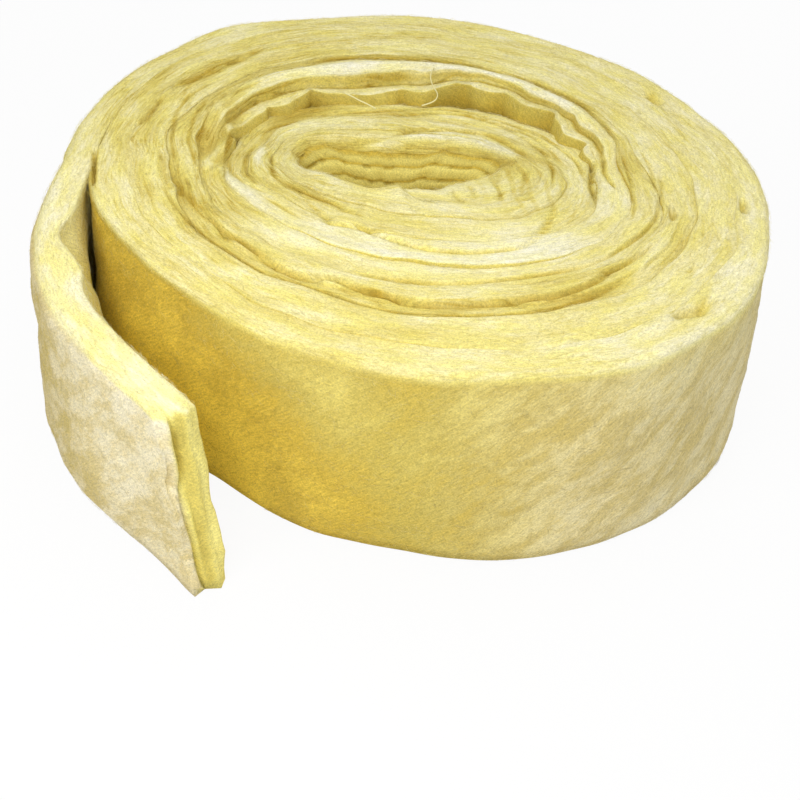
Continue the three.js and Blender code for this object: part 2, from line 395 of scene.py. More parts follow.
def sprung_turn(seen, steps):
    """The turns of the sprung turn's inner face nearest to the points seen there, in steps of a turn."""
    *pixels, height = np.transpose(seen)
    turns = np.linspace(4, 4.5, 501)
    plan = seen_at(np.transpose(pixels), height / 1000)
    off = np.linalg.norm(plan[:, None] - inner_face(turns) - PLAN_SHIFT, axis=2)
    return np.round(turns[off.argmin(axis=1)] * steps) / steps


STEP_TURNS = (4.02, 4.06, 4.09, *sprung_turn(STEP_SEEN, 200), 4.47, 4.49)
SUNK_RIM = (0, -4.5, -5.5, -9, -6, -11, -10, -3.5, -2, -2, -3.5, -7.5, -5, 0)
STEP_OUT = (3, 1, 0.5, -1.5, -2, -5, -3, 0.5, 1, 0.5, -0.5, -2, 0, 2)
SUNK_RAISED = (0, 0, 0, 0, 0, 0, 0, 1, 2.5, 3.5, 3.5, 3, 1.5, 0)
PUSHED = (0, 0, 0, 0, 0, 0, 0.5, 2, 3.5, 4, 4, 3, 1, 0)
STEP_FROM, STEP_TO = 0.36, 0.60            # where across the strip the step starts and ends
SUNK_BY = 0.0012
# Three pleats of the sunk ply and one of the outer, read in the same way.
SECOND_PLEAT, SIXTH_PLEAT, LAST_PLEAT, UPPER_PLEAT = sprung_turn(
    ((312, 81, 76), (561, 118, 71), (591, 162, 66), (280, 91, 73)), 1000)
# Where it is gathered into pleats: turn, how far it is drawn back there, and the reach to the left.
GATHERS = ((4.105, 0.0016, 0.003), (SECOND_PLEAT, 0.0040, 0.005), (4.235, 0.0006, 0.003),
           (4.293, 0.0055, 0.0055), (4.333, 0.0008, 0.003), (SIXTH_PLEAT, 0.0035, 0.004),
           (LAST_PLEAT, 0.0025, 0.004))
GATHER_ROUNDING, GATHER_RIGHT_REACH = 0.0007, 0.0020
# The same on the outer ply.
UPPER_GATHERS = ((UPPER_PLEAT, 0.0010, 0.004), (4.205, 0.0006, 0.004), (4.286, 0.0010, 0.005), (4.412, 0.0012, 0.006),
                 (4.466, 0.0012, 0.006))
# The turn inside the sprung one leans out at its upper end: by turn, in millimetres.
LEANING_TURNS = (5.18, 5.24, 5.27, 5.305, 5.355, 5.385, 5.44, 5.50)
LEANING_OUT = (0, 0.5, 3, 5, 7, 6, 4, 0)

# The bore's rim has been pulled out of its oval: by turn, outwards in millimetres.
RIM_TURNS = (6.70, 6.76, 6.82, 6.88, 6.94, 7.02, 7.05, 7.08, 7.12, 7.20, 7.28, 7.33, 7.38, 7.42, 7.455, 7.48, 7.52,
             7.55, 7.61, 7.67, 7.75)
RIM_OUT = (0, 1, 3, -1, -6, 0, 5, 10, 9.5, 8, 8, 9.5, 9, 10, 6, -1, -8, -8, -2, 2.5, 3)
# Below the rim, plies stand out of the bore's back wall one under the other: their lower edges, and where
# those are drawn up, as turn, reach and height.
LEDGES = (0.0020, 0.0058, 0.0106, 0.0154)
LEDGE_DEPTH = 0.0012                       # how far each stands back from the one below it
DRAWN_UP = ((7.325, 0.020, 0.0012), (7.09, 0.030, 0.0014), (7.20, 0.040, -0.0006))

# Right of the bore the inner turns are crumpled into plies that run to the front, round this place.
FAN_MIDDLE = (0.0430, 0.0, 0.075)
# Seams whose edges are softer: turn of the seam, reach, and radius that it adds.
SOFT_SEAMS = ((2.75, 0.30, 0.0006), (3.75, 0.20, 0.0003), (5.75, 0.20, 0.0005), (3.10, 0.15, 0.0006),
              (6.75, 0.30, 0.0005), (7.25, 0.20, 0.0005))
# How golden the wool is, from 0 to 1, where nothing else changes it. Some of these are painted light and shade: the
# tail's inner face is painted paler, and the riser, its corner, the line under the bore's rim and the ledges are
# painted golder and darker.
CUT_GOLD, WALL_GOLD, INSIDE_GOLD, PAINTED_LIGHT_TAIL_INSIDE_GOLD, END_GOLD = 0.37, 0.58, 0.72, 0.26, 0.60
RISER_SHADE_GOLD, CORNER_SHADE_GOLD, CRESCENT_GOLD, RIM_SHADOW_GOLD = 0.68, 0.84, 0.64, 0.86
LEDGE_GOLD, DEEPEST_LEDGE_GOLD = 0.54, 0.84
# Golder and, below 0, whiter stretches of the cut face: turn, reach and amount.
GOLD_STRETCHES = (
    (0.10, 0.10, 0.04), (0.60, 0.10, -0.10), (0.80, 0.10, 0.12), (1.10, 0.12, 0.14), (1.77, 0.10, 0.11),
    (1.92, 0.10, 0.05), (2.12, 0.12, 0.14), (2.65, 0.12, 0.08), (2.95, 0.15, 0.12), (3.18, 0.15, 0.23),
    (3.40, 0.12, 0.10), (3.75, 0.15, 0.07), (4.02, 0.09, 0.36), (4.35, 0.10, 0.10), (4.68, 0.18, -0.15),
    (5.12, 0.12, 0.30), (5.30, 0.12, -0.02), (5.90, 0.12, 0.12), (6.45, 0.15, 0.10), (7.15, 0.20, 0.12),
    (7.45, 0.15, 0.12),
)
# Where the cut face is smooth and plain.
CALM_STRETCHES = ((0.74, 0.22, 0.85), (1.72, 0.14, 0.45), (3.72, 0.16, 0.6), (4.75, 0.20, 0.5), (7.74, 0.08, 0.6))
# Golder and, below 0, whiter stretches of the outer wall, which is deep golden on the left; where golder it is also
# painted lighter, as painted light against the tail's shadow.
WALL_STRETCHES = ((0.97, 0.11, 0.36), (0.87, 0.07, 0.20), (0.75, 0.07, 0.11), (0.60, 0.10, -0.12))
PAINTED_LIGHT_BEHIND_TAIL = (0.865, 0.062, 0.27)     # and low down, where the tail stands close: painted light against its shadow


def lay(along, across, up):
    """Where a point of the straight strip comes to lie: along in metres from the tail's tip, across
    from 0 at the inner face to 1 at the outer, up from 0 to 1. Also how golden and how creamy the wool
    is there, with painted light and shade in the gold, whether it is on the upper cut face, and how plain it is."""
    turn = at_station(along, station_turn)
    outer, inner = at_station(along, station_outer), at_station(along, station_inner)
    top, spread, gap = (at_station(along, values) for values in (station_top, station_spread, station_gap))
    outward = outer - inner
    thickness = np.linalg.norm(outward, axis=1)
    outward /= thickness[:, None]
    sprung, facing = crescent_share(turn), crescent_share(turn - 1)
    in_bore = smoothstep(turn, 6.72, 6.80)
    behind = np.clip(outwards(turn)[:, 1], 0, 1)
    bunched = smoothstep(-outwards(turn)[:, 0], 0.25, 0.9)
    in_tail = turn < 0

    # soft cut edges
    y, z = (across - 0.5) * thickness, up * STRIP_WIDTH
    uneven = 0.0002 * wander(along, 0.05, seed=3) + 0.0003 * smoothstep(turn, 2.2, 3.0)
    soft_outer = EDGE_RADIUS + uneven + hump(turn, SOFT_SEAMS)
    soft_outer += 0.0026 * (1 - smoothstep(turn, 0.95, 1.05)) * (turn > 0)
    soft_outer += 0.0010 * in_tail + 0.0026 * facing
    soft_outer += 0.0034 * smoothstep(along, 0.010, 0.060) * (1 - smoothstep(turn, -0.04, 0.06))
    soft_inner = EDGE_RADIUS + uneven * (1 - 0.8 * smoothstep(sprung, 0, 0.2)) + hump(turn + 1, SOFT_SEAMS)
    soft_inner += 0.0008 * in_tail + in_bore * (0.0008 + 0.0030 * behind)
    soft = np.minimum(np.where(y > 0, soft_outer, soft_inner), thickness * 0.45)
    past_y = np.sign(y) * np.maximum(np.abs(y) - (thickness / 2 - soft), 0)
    past_z = np.maximum(z - (STRIP_WIDTH - soft), 0) - np.maximum(soft - z, 0)
    reach = np.maximum(np.hypot(past_y, past_z), 1e-9)
    tuck = 1 - np.maximum(np.abs(past_y), np.abs(past_z)) / reach
    cut = np.clip(past_z / soft, 0, 1)
    y, z = y - past_y * tuck, z - past_z * tuck
    below = STRIP_WIDTH - z
    near_top = np.clip(1 - below / RELIEF_DEPTH, 0, 1)
    on_inner = np.clip(0.5 - y / thickness, 0, 1)

    # the walls bulge where nothing presses on them
    open_outside = np.maximum(1 - smoothstep(turn, 1.0, 1.06), smoothstep(facing, 0, 0.3))
    open_inside = np.maximum(1 - smoothstep(turn, -0.02, 0.01), in_bore)
    open_inside = np.maximum(open_inside, smoothstep(sprung, 0, 0.3))
    wall = np.stack([along / BULGE_SIZE[0], z / BULGE_SIZE[1]], axis=1)
    bulge = BULGE * wander(wall, 1, seed=8) + SMALL_BULGE * wander(wall * 3.5, 1, seed=9)
    edge = np.clip(2 * np.abs(y) / thickness, 0, 1) ** 2
    y = y + bulge * np.where(y > 0, open_outside, open_inside) * edge
    y = y + hump(turn, (LOW_BULGE,)) * smoothstep(below, 0, 0.06) * edge * (y > 0)

    # the tail is pinched where it bends, and its inner wall slumps against the roll below that
    y = y + hump(turn, TAIL_PINCHES) * on_inner ** 2
    slump = np.clip(gap - 0.0014, 0, 0.012) * (1 - smoothstep(gap, 0.012, 0.022)) * smoothstep(below, 0.001, 0.024)
    y = y - slump * on_inner ** 2 * in_tail

    # the sprung turn's two plies, and the turn behind, which they push outwards
    tiered = smoothstep(sprung, 0, 0.25)
    rim, step, raised, pushed = (np.interp(turn, STEP_TURNS, values) / 1000
                                 for values in (SUNK_RIM, STEP_OUT, SUNK_RAISED, PUSHED))
    pushed_behind = np.interp(turn + 1, STEP_TURNS, PUSHED) / 1000
    leaning = np.interp(turn, LEANING_TURNS, LEANING_OUT) / 1000
    upper_pinch, pinch, drawn = np.zeros(len(along)), np.zeros(len(along)), np.zeros(len(along))
    for gathers in (GATHERS, UPPER_GATHERS):
        for middle, depth, reach in gathers:
            apart = along - np.interp(middle, station_turn, station_along)
            rounded = np.hypot(apart, GATHER_ROUNDING) - GATHER_ROUNDING
            fold = np.exp(-rounded / np.where(apart < 0, reach, GATHER_RIGHT_REACH))
            if gathers is UPPER_GATHERS:
                upper_pinch = np.maximum(upper_pinch, depth * fold)
            else:
                pinch, drawn = np.maximum(pinch, fold), np.maximum(drawn, depth * fold)
    step = step + upper_pinch + 0.0005 * wander(along, 0.016, seed=26)
    rim = np.minimum(rim + 0.0007 * wander(along, 0.022, seed=16) + drawn, step - 0.0006)
    level = smoothstep(across, STEP_FROM, STEP_TO)
    out = rim + (step - rim) * np.clip(across / STEP_FROM, 0, 1)
    out += (thickness - step) * np.clip((across - STEP_TO) / (1 - STEP_TO), 0, 1)
    high_up = 1 - smoothstep(below, *FREE_DEPTH)
    y = y + tiered * high_up * (out - across * thickness)
    push = (pushed + leaning) * bell((1 - across) * thickness, 0, PUSH_REACH)
    push += pushed_behind * bell(across * thickness, 0, PUSH_REACH)
    y = y + push * high_up
    stepped = tiered * near_top * ((STRIP_WIDTH + 0.0006 - top) * level + (raised - SUNK_BY) * (1 - level)
                                   - 0.0010 * bell(across, 0.34, 0.06))
    on_riser = tiered * np.clip(4 * level * (1 - level), 0, 1) * smoothstep(up, 0.98, 1)
    in_corner = tiered * bell(across, STEP_FROM, 0.045) * smoothstep(up, 0.98, 1)

    plan = (outer + inner) / 2 + outward * (y + spread * (1 - up))[:, None] + PLAN_SHIFT

    # the sunk ply's wall bulges between its gathers
    pillow = np.sin(np.pi * np.clip(below / 0.015, 0, 1)) ** 0.7
    hang = tiered * on_inner ** 2 * (PILLOW * pillow * (1 - 0.6 * pinch) - 0.0010 * smoothstep(below, 0.016, 0.028))

    # the bore's rim is pulled about, and plies stand out of its back wall one below the other
    pull = np.interp(turn, RIM_TURNS, RIM_OUT) / 1000
    pull *= np.where(pull > 0, 1 - smoothstep(below, 0, 0.014), 1 - smoothstep(below, 0.016, 0.040))
    hang -= in_bore * pull * np.where(pull > 0, on_inner, on_inner ** 3)
    waves = 0.0005 * wander(along, 0.030, seed=11) + 0.0002 * wander(along, 0.009, seed=17) + hump(turn, DRAWN_UP)
    ledge_shade, stands_out, last_edge = np.zeros(len(along)), np.zeros(len(along)), 0
    for i, lower_edge in enumerate(LEDGES):
        part = np.clip((below + waves - last_edge) / (lower_edge - last_edge), 0, 1)
        within = (part > 0) & (part < 1)
        bulging = np.clip(part / 0.55, 0, 1) ** 0.6 * (1 - 0.8 * smoothstep(part, 0.84, 1.0))
        bulging *= (lower_edge - last_edge) / LEDGES[0]
        stands_out = np.where(within, LEDGE_DEPTH * (i + bulging), stands_out)
        # Painted shade: each ledge darker towards its lower edge, and each deeper one darker still. Painted highlight:
        # its crest, just below the line above, paler.
        shaded = smoothstep(part, 0.72, 0.96) + 0.35 * smoothstep(part, 0.25, 0.9)
        shaded -= 0.3 * bell(part, 0.12, 0.12)
        ledge_shade = np.where(within, 0.10 * i + shaded, ledge_shade)
        last_edge = lower_edge
    under_all = below + waves >= last_edge
    stands_out = np.where(under_all, LEDGE_DEPTH * len(LEDGES), stands_out)
    ledge_shade = np.where(under_all, 0.8, ledge_shade)
    on_ledges = in_bore * smoothstep(behind, 0.05, 0.30) * on_inner ** 3 * smoothstep(below, 0.0002, 0.001)
    hang += on_ledges * stands_out * (1 - smoothstep(below, 0.024, 0.034))
    above_bore = in_bore * smoothstep(behind, 0.05, 0.35)
    # A dark golden line along the first ledge under the bore's rim, where the rim overhangs: painted shade.
    rim_shadow_line = above_bore * on_inner ** 2 * bell(below + waves, LEDGES[0], 0.0006)
    cut *= 1 - above_bore * smoothstep(below + waves, LEDGES[0] - 0.0003, LEDGES[0] + 0.0002)
    plan -= outward * hang[:, None]

    # waves that run through the turns together
    free_edge = 1 - across * (1 - smoothstep(turn, 0.95, 1.15))
    free_edge = np.where(turn < 0.15, free_edge * smoothstep(turn, -0.05, 0.15), free_edge)
    plan += stirred(plan) * (free_edge * smoothstep(0.030 - below, 0, 0.030))[:, None]

    # the torn end: the outer skin has drawn back from the golden core, which has split in two
    from_end = np.exp(-along / TORN_REACH)
    ragged = 0.0012 * wander(up, 0.22, seed=18) + 0.0006 * wander(up, 0.07, seed=19)
    drawn_back = SKIN_DRAWN_BACK + TOP_DRAWN_BACK * smoothstep(up, 0.80, 1.0) + ragged
    drawn_back *= smoothstep(across, 0.76, 0.90)
    split_at = SPLIT_PLACE + 0.05 * wander(up, 0.5, seed=20)
    split = SPLIT_DEPTH * bell(across, split_at, 0.05) * (1.1 - 0.6 * up)
    forward = 0.0010 * bell(across, 0.3, 0.15) - 0.0010 * wander(
        np.stack([across * 3, up * 4], axis=1), 1, seed=27)
    plan += at_station(along, station_heading) * (from_end * (drawn_back + split * (along < 0.006) - forward))[:, None]

    # the cut face: plies that show as ridges along the strip, and where it has opened
    place = np.stack([along / 0.030, y / 0.008], axis=1)
    fine = np.stack([along / 0.014, y / 0.0014], axis=1)
    relief = PLY_RELIEF * wander(place, 1, seed=4) + FINE_RELIEF * wander(fine, 1, seed=5)
    plies = y / PLY_SPACING + 0.9 * wander(along, 0.06, seed=6) + 0.35 * wander(along, 0.018, seed=12)
    seen = 0.15 + 0.75 * wander(np.stack([along / 0.050, np.round(plies)], axis=1), 1, seed=7)
    at_tail = 1 - smoothstep(along, 0.13, 0.19)
    calm = 0.75 * at_tail + hump(turn, CALM_STRETCHES)
    calm += 0.35 * smoothstep(outwards(turn)[:, 0], 0.2, 0.7)
    calm += 0.30 * smoothstep(-outwards(turn)[:, 1], 0.3, 0.9) * smoothstep(turn, 1.2, 2.0)
    deep = 0.25 + 0.20 * bunched + 0.15 * smoothstep(turn, 3.9, 4.6) + 0.3 * bell(turn, 2.75, 0.35)
    deep += 0.30 * smoothstep(outwards(turn)[:, 0], 0.45, 0.85) * smoothstep(turn, 4.4, 5.1)
    crumpled = np.exp(-((plan[:, 0] - FAN_MIDDLE[0]) / 0.018) ** 2 - ((plan[:, 1] - FAN_MIDDLE[1]) / 0.022) ** 2)
    deep *= 1 - np.clip(calm + crumpled, 0, 1)
    deep = deep * np.clip(seen, 0, 1.2)
    valley = np.clip(1 - np.abs(np.sin(np.pi * plies)) / 0.50, 0, 1) ** 1.5
    relief -= VALLEY_DEPTH * deep * valley
    first, last, sunk = SUNK_PLY
    ply = smoothstep(turn, first, first + 0.06) * (1 - smoothstep(turn, last - 0.08, last))
    ply *= smoothstep(y, thickness / 2 - 0.0062, thickness / 2 - 0.0050)
    rise, seam_shade_and_ridge_light = worked(plan)
    rolled = above_bore * smoothstep(on_inner, 0.30, 1.0)
    z = z * top / STRIP_WIDTH + near_top * (relief - sunk * ply + rise - ROLLED_DOWN * rolled) + stepped

    # tones
    golden = CUT_GOLD + hump(turn, GOLD_STRETCHES) + 0.08 * wander(place, 1, seed=13)
    # Golder and darker in the openings, in the valleys between plies and where the cut face rolls down into the bore:
    # painted shade. Paler along the ridges: a painted highlight. The sunk ply is golder too.
    golden += 0.46 * seam_shade_and_ridge_light + 0.14 * ply + 0.28 * deep * valley + 0.24 * rolled
    # On the sprung turn the crests of both plies are painted whiter: a painted highlight. The riser between them and
    # the corner at its foot are painted golder and darker: painted shade.
    crest_highlight = 0.22 - 0.11 * smoothstep(turn, 4.28, 4.36)
    golden -= tiered * (0.12 * bell(across, 0, 0.16) + crest_highlight * bell(across, 0.64, 0.06))
    golden -= 0.10 * at_tail
    golden += (RISER_SHADE_GOLD - golden) * on_riser
    golden += (CORNER_SHADE_GOLD - golden) * in_corner
    # Up high the outer wall takes less of its stretches, and low down behind the tail it is painted golder and
    # lighter: painted light against the tail's shadow.
    less_gold_and_painted_light_above = 0.4 * (1 - smoothstep(below, 0.008, 0.045)) * smoothstep(turn, 0.72, 0.82)
    on_wall = WALL_GOLD + hump(turn, WALL_STRETCHES) * (1 - less_gold_and_painted_light_above) + 0.05 * wander(wall, 1, seed=14)
    on_wall += hump(turn, (PAINTED_LIGHT_BEHIND_TAIL,)) * smoothstep(below, 0.030, 0.062)
    on_wall -= in_tail * (0.11 * np.exp(-below / 0.007) + 0.18 * (1 - smoothstep(along, 0.030, 0.080)))
    on_wall += in_tail * 0.08 * smoothstep(along, 0.070, 0.095)
    # The tail's inner face is painted paler: painted light on a face that the lamps hardly reach.
    inside = np.where(in_tail, PAINTED_LIGHT_TAIL_INSIDE_GOLD, INSIDE_GOLD) + 0.08 * wander(wall, 1, seed=15)
    # Deeper down in the crescent and in the creases of its pleats the wool is painted golder and darker: painted
    # shade.
    crescent_gold_and_shade = CRESCENT_GOLD + 0.14 * smoothstep(below, 0.001, 0.008) + 0.06 * pinch
    inside += (crescent_gold_and_shade - inside) * tiered
    # Painted shade on the bore's back wall, from its ledges.
    inside += (np.minimum(LEDGE_GOLD + 0.34 * ledge_shade, DEEPEST_LEDGE_GOLD) - inside) * above_bore
    on_wall = np.where(across < 0.5, inside, on_wall)
    cut = np.where(in_tail & (across > 0.5), smoothstep(cut, 0.5, 1.0), cut)
    gold = on_wall + (golden - on_wall) * smoothstep(cut, 0.15, 0.9)
    gold += (RIM_SHADOW_GOLD - gold) * rim_shadow_line
    core = np.exp(-along / 0.0015) * (1 - smoothstep(across, 0.70, 0.85))
    gold += core * (END_GOLD - 0.20 * smoothstep(np.abs(across - 0.52), 0.05, 0.25) - gold)
    cream = smoothstep(0.76 - turn, 0, 0.09) * (0.74 - 0.36 * np.exp(-below / 0.014)) + 0.08 * (turn < 1)
    cream *= (1 - smoothstep(cut, 0, 0.6)) * (across > 0.5)
    cream = np.where(in_tail, np.maximum(cream, (1 - cut) * (across > 0.5) * 0.95), cream) * (1 - core)
    return np.column_stack([plan, np.maximum(z, LOWEST)]), np.column_stack([gold, cream, cut, calm])


# The mesh's steps along the strip, round it and under it, and those of the grids at its ends. Then the rows
# on a wall that is hidden, the further ones where the bore or the crescent is looked into, and those where
# the turn inside the crescent leans out.
LENGTHWISE, GIRTH, UNDERNEATH = 1465, 67, 3
CAP_ACROSS, CAP_UPRIGHT = 24, 20
HIDDEN_ROWS, LOOKED_INTO_ROWS, LEANING_ROWS = 8, 26, 6


def shown(turn, first, last):
    """1 over a stretch of turns, and falling to 0 over the twentieth of a turn beside it."""
    return smoothstep(turn, first - 0.05, first) * (1 - smoothstep(turn, last, last + 0.05))


def looked_into(turn):
    """1 where the camera sees down the inner wall: in the crescent and in the bore."""
    return shown(turn, 4.0, 4.5) + shown(turn, 6.75, WOUND_TURNS - 0.10)


def outline(step, turn):
    """The strip's outline in steps: up the inner wall, over, down the outer wall and back. The steps are
    close where the wall shows, and where it is hidden most of them are on the cut face instead."""
    spare = CAP_UPRIGHT - HIDDEN_ROWS
    at_end = smoothstep(turn, WOUND_TURNS - 0.05, WOUND_TURNS)
    inner_rows = HIDDEN_ROWS + spare * (shown(turn, -1, 0.02) + at_end)
    inner_rows += LOOKED_INTO_ROWS * looked_into(turn)
    outer_rows = HIDDEN_ROWS + spare * (shown(turn, -1, 1.03) + at_end) + LEANING_ROWS * shown(turn, 5.0, 5.5)
    down = GIRTH - UNDERNEATH - outer_rows
    climb = np.clip(step / inner_rows, 0, 1) - np.clip((step - down) / outer_rows, 0, 1)
    back = GIRTH - UNDERNEATH
    cross = np.clip((step - inner_rows) / (down - inner_rows), 0, 1) - np.clip((step - back) / UNDERNEATH, 0, 1)
    return cross, climb


# The steps along the strip are shorter where it is gathered, round the bore and at its torn end.
finely = 1 + 1.5 * shown(station_turn, 4.04, 4.48) + 1.5 * shown(station_turn, 6.95, 7.75) + 2 * (station_along < 0.02)
steps = np.concatenate([[0], np.cumsum((finely[1:] + finely[:-1]) / 2 * np.diff(station_along))])

# Cut straight: a grid folded round into a tube, and closed with a small grid at each end.
straight = bmesh.new()
bmesh.ops.create_grid(straight, x_segments=LENGTHWISE, y_segments=GIRTH, size=0.5)
grid = np.array([vert.co for vert in straight.verts]) + 0.5
grid_along = np.interp(grid[:, 0] * steps[-1], steps, station_along)
cross, climb = outline(grid[:, 1] * GIRTH, at_station(grid_along, station_turn))
for vert, cross_share, climb_share in zip(straight.verts, cross, climb):
    vert.co.y, vert.co.z = cross_share - 0.5, climb_share - 0.5
for end in (-0.5, 0.5):
    cap = bmesh.ops.create_grid(straight, x_segments=CAP_ACROSS, y_segments=CAP_UPRIGHT, size=0.5)["verts"]
    stand_up = Euler((np.pi / 2, 0, np.pi / 2)).to_matrix()
    bmesh.ops.rotate(straight, verts=cap, matrix=stand_up)
    bmesh.ops.translate(straight, verts=cap, vec=(end, 0, 0))
    floor_row = sorted((v for v in cap if v.co.z < -0.499), key=lambda v: v.co.y)
    spare = [v for i, v in enumerate(floor_row) if i % (CAP_ACROSS // UNDERNEATH)]
    bmesh.ops.dissolve_verts(straight, verts=spare)
bmesh.ops.remove_doubles(straight, verts=straight.verts, dist=0.00001)
bmesh.ops.recalc_face_normals(straight, faces=straight.faces)


def built(mesh_maker, name):
    """The mesh of this name that a mesh maker has made."""
    mesh = bpy.data.meshes.new(name)
    mesh_maker.to_mesh(mesh)
    mesh_maker.free()
    return mesh


def corners(mesh, copies):
    """The places of a mesh's corners, copy by copy."""
    place = np.empty(len(mesh.vertices) * 3)
    mesh.vertices.foreach_get("co", place)
    return place.reshape(copies, -1, 3)


# Rolled up. The levels up the walls crowd towards the top, where the most shows.
strip_mesh = built(straight, "insulation_strip_wool")
place = corners(strip_mesh, 1)[0]
along, across = np.interp((place[:, 0] + 0.5) * steps[-1], steps, station_along), place[:, 1] + 0.5
turn = at_station(along, station_turn)
close = (1 - shown(turn, -1, 0.02)) * (1 - across) + (1 - shown(turn, -1, 1.03)) * across
down = np.clip(0.5 - place[:, 2], 0, 1)
evenly = 0.27 * np.clip(down / 0.75, 0, 1) ** 1.15 + 0.73 * np.clip(down / 0.25 - 3, 0, 1) ** 1.5
down = down ** (1.3 + 0.9 * close)
up = 1 - (down + (evenly - down) * (looked_into(turn) * (1 - across)))
laid, tone = lay(along, across, up)
strip_mesh.vertices.foreach_set("co", laid.ravel())
strip_mesh.attributes.new("wool_place", "FLOAT_VECTOR", "POINT").data.foreach_set(
    "vector", np.column_stack([along, across * PRESSED_THICKNESS, up * STRIP_WIDTH]).ravel())
strip_mesh.attributes.new("wool_tone", "FLOAT_COLOR", "POINT").data.foreach_set("color", tone.ravel())
strip_mesh.polygons.foreach_set("use_smooth", np.ones(len(strip_mesh.polygons), bool))
strip_mesh.update()


def placed_in_scene(name, data):
    thing = bpy.data.objects.new(name, data)
    bpy.context.scene.collection.objects.link(thing)
    return thing


strip = placed_in_scene("insulation_strip_wool", strip_mesh)


def srgb(red, green, blue):
    values = np.array([red, green, blue]) / 255
    return (*np.where(values <= 0.04045, values / 12.92, ((values + 0.055) / 1.055) ** 2.4), 1)


def joined(tree, kind, settings=(), **inputs):
    """A new node, with settings, and with values or other nodes' outputs at its inputs."""
    node = tree.nodes.new("ShaderNode" + kind)
    for name, value in dict(settings).items():
        setattr(node, name, value)
    for name, value in inputs.items():
        socket = node.inputs[int(name[1:])] if name[0] == "_" else node.inputs[name.replace("_", " ")]
        if isinstance(value, bpy.types.NodeSocket):
            tree.links.new(value, socket)
        else:
            socket.default_value = value
    return node


def ramp(tree, factor, *stops):
    node = joined(tree, "ValToRGB", _0=factor)
    stops_left = list(node.color_ramp.elements)
    for i, (position, colour) in enumerate(stops):
        stop = stops_left[i] if i < 2 else node.color_ramp.elements.new(position)
        stop.position, stop.color = position, srgb(*colour)
    return node.outputs["Color"]


def noise(tree, place, size, detail=2, rotation=(0, 0, 0), roughness=0.5):
    """Noise whose blots have about this size, turned with it."""
    mapped = joined(tree, "Mapping", {"vector_type": "TEXTURE"}, Vector=place, Scale=size, Rotation=rotation)
    texture = joined(tree, "TexNoise", Vector=mapped.outputs[0], Scale=1, Detail=detail, Roughness=roughness)
    return texture.outputs["Fac"]


def maths(tree, operation, *values, clamp=False):
    """What a sum of this kind makes of numbers or other nodes' outputs."""
    inputs = {f"_{i}": value for i, value in enumerate(values)}
    return joined(tree, "Math", {"operation": operation, "use_clamp": clamp}, **inputs).outputs[0]


def weighed(tree, start, *terms):
    """start plus each amount times (value - 0.5)."""
    total = start
    for value, amount in terms:
        total = maths(tree, "ADD", total, maths(tree, "MULTIPLY_ADD", value, amount, -amount / 2))
    return total


def plus(tree, start, value, amount):
    """start plus an amount times a value."""
    return maths(tree, "MULTIPLY_ADD", value, amount, start)


def mixed(tree, share, first, second, blend="MIX"):
    """A colour between two, or the one multiplied by the other."""
    settings = {"data_type": "RGBA", "blend_type": blend}
    return joined(tree, "Mix", settings, _0=share, _6=first, _7=second).outputs[2]


def between(tree, share, first, second):
    """A number between two."""
    return joined(tree, "Mix", {"data_type": "FLOAT"}, _0=share, _2=first, _3=second).outputs[0]


def fitted(tree, value, low, high, out_low=0.0, out_high=1.0):
    """A soft step of a value between two levels."""
    return joined(tree, "MapRange", {"interpolation_type": "SMOOTHSTEP"}, _0=value, _1=low, _2=high,
                  _3=out_low, _4=out_high).outputs[0]


def crease(tree, value, width):
    """1 along the thin lines where a noise passes its middle, and 0 beside them."""
    away = maths(tree, "ABSOLUTE", maths(tree, "SUBTRACT", value, 0.5))
    return fitted(tree, away, 0.0, width, 1.0, 0.0)


def product(tree, first, second):
    return maths(tree, "MULTIPLY", first, second)


def new_material(name):
    material = bpy.data.materials.new(name)
    material.use_nodes = True
    return material, material.node_tree


def glass(name, roughness, specular):
    """A material of glass wool, its surface, and the tones that its pieces' corners carry."""
    material, tree = new_material(name)
    surface = tree.nodes["Principled BSDF"]
    surface.inputs["Roughness"].default_value = roughness
    surface.inputs["Specular IOR Level"].default_value = specular
    tones = joined(tree, "Attribute", {"attribute_name": "wool_tone"})
    gold, cream, cut = joined(tree, "SeparateColor", _0=tones.outputs["Color"]).outputs
    return material, tree, surface, gold, cream, cut, tones.outputs["Alpha"]


wool, tree, surface, gold, cream, cut, calm = glass("glass_wool", roughness=0.95, specular=0.05)
laid_place = joined(tree, "Attribute", {"attribute_name": "wool_place"}).outputs["Vector"]
lively = maths(tree, "SUBTRACT", 1.0, calm, clamp=True)
object_place = joined(tree, "TexCoord").outputs["Object"]
# on the cut face: lines between plies, thin lines within them, soft strata and fine fuzz
ply_lines = crease(tree, noise(tree, laid_place, (0.060, 0.0046, 0.0046), detail=1), 0.035)
thin_lines = crease(tree, noise(tree, laid_place, (0.026, 0.0017, 0.0017), detail=1), 0.050)
strata = noise(tree, laid_place, (0.034, 0.0018, 0.0018), detail=3, roughness=0.6)
fuzz = noise(tree, laid_place, (0.0020, 0.00045, 0.00045), detail=3, roughness=0.7)
come_and_go = fitted(tree, noise(tree, object_place, (0.018, 0.018, 0.018), detail=2), 0.40, 0.60, 0.3, 1.0)
here_and_there = fitted(tree, noise(tree, object_place, (0.011, 0.011, 0.011), detail=2), 0.42, 0.60, 0.2, 1.0)
ply_lines, thin_lines = product(tree, ply_lines, come_and_go), product(tree, thin_lines, here_and_there)
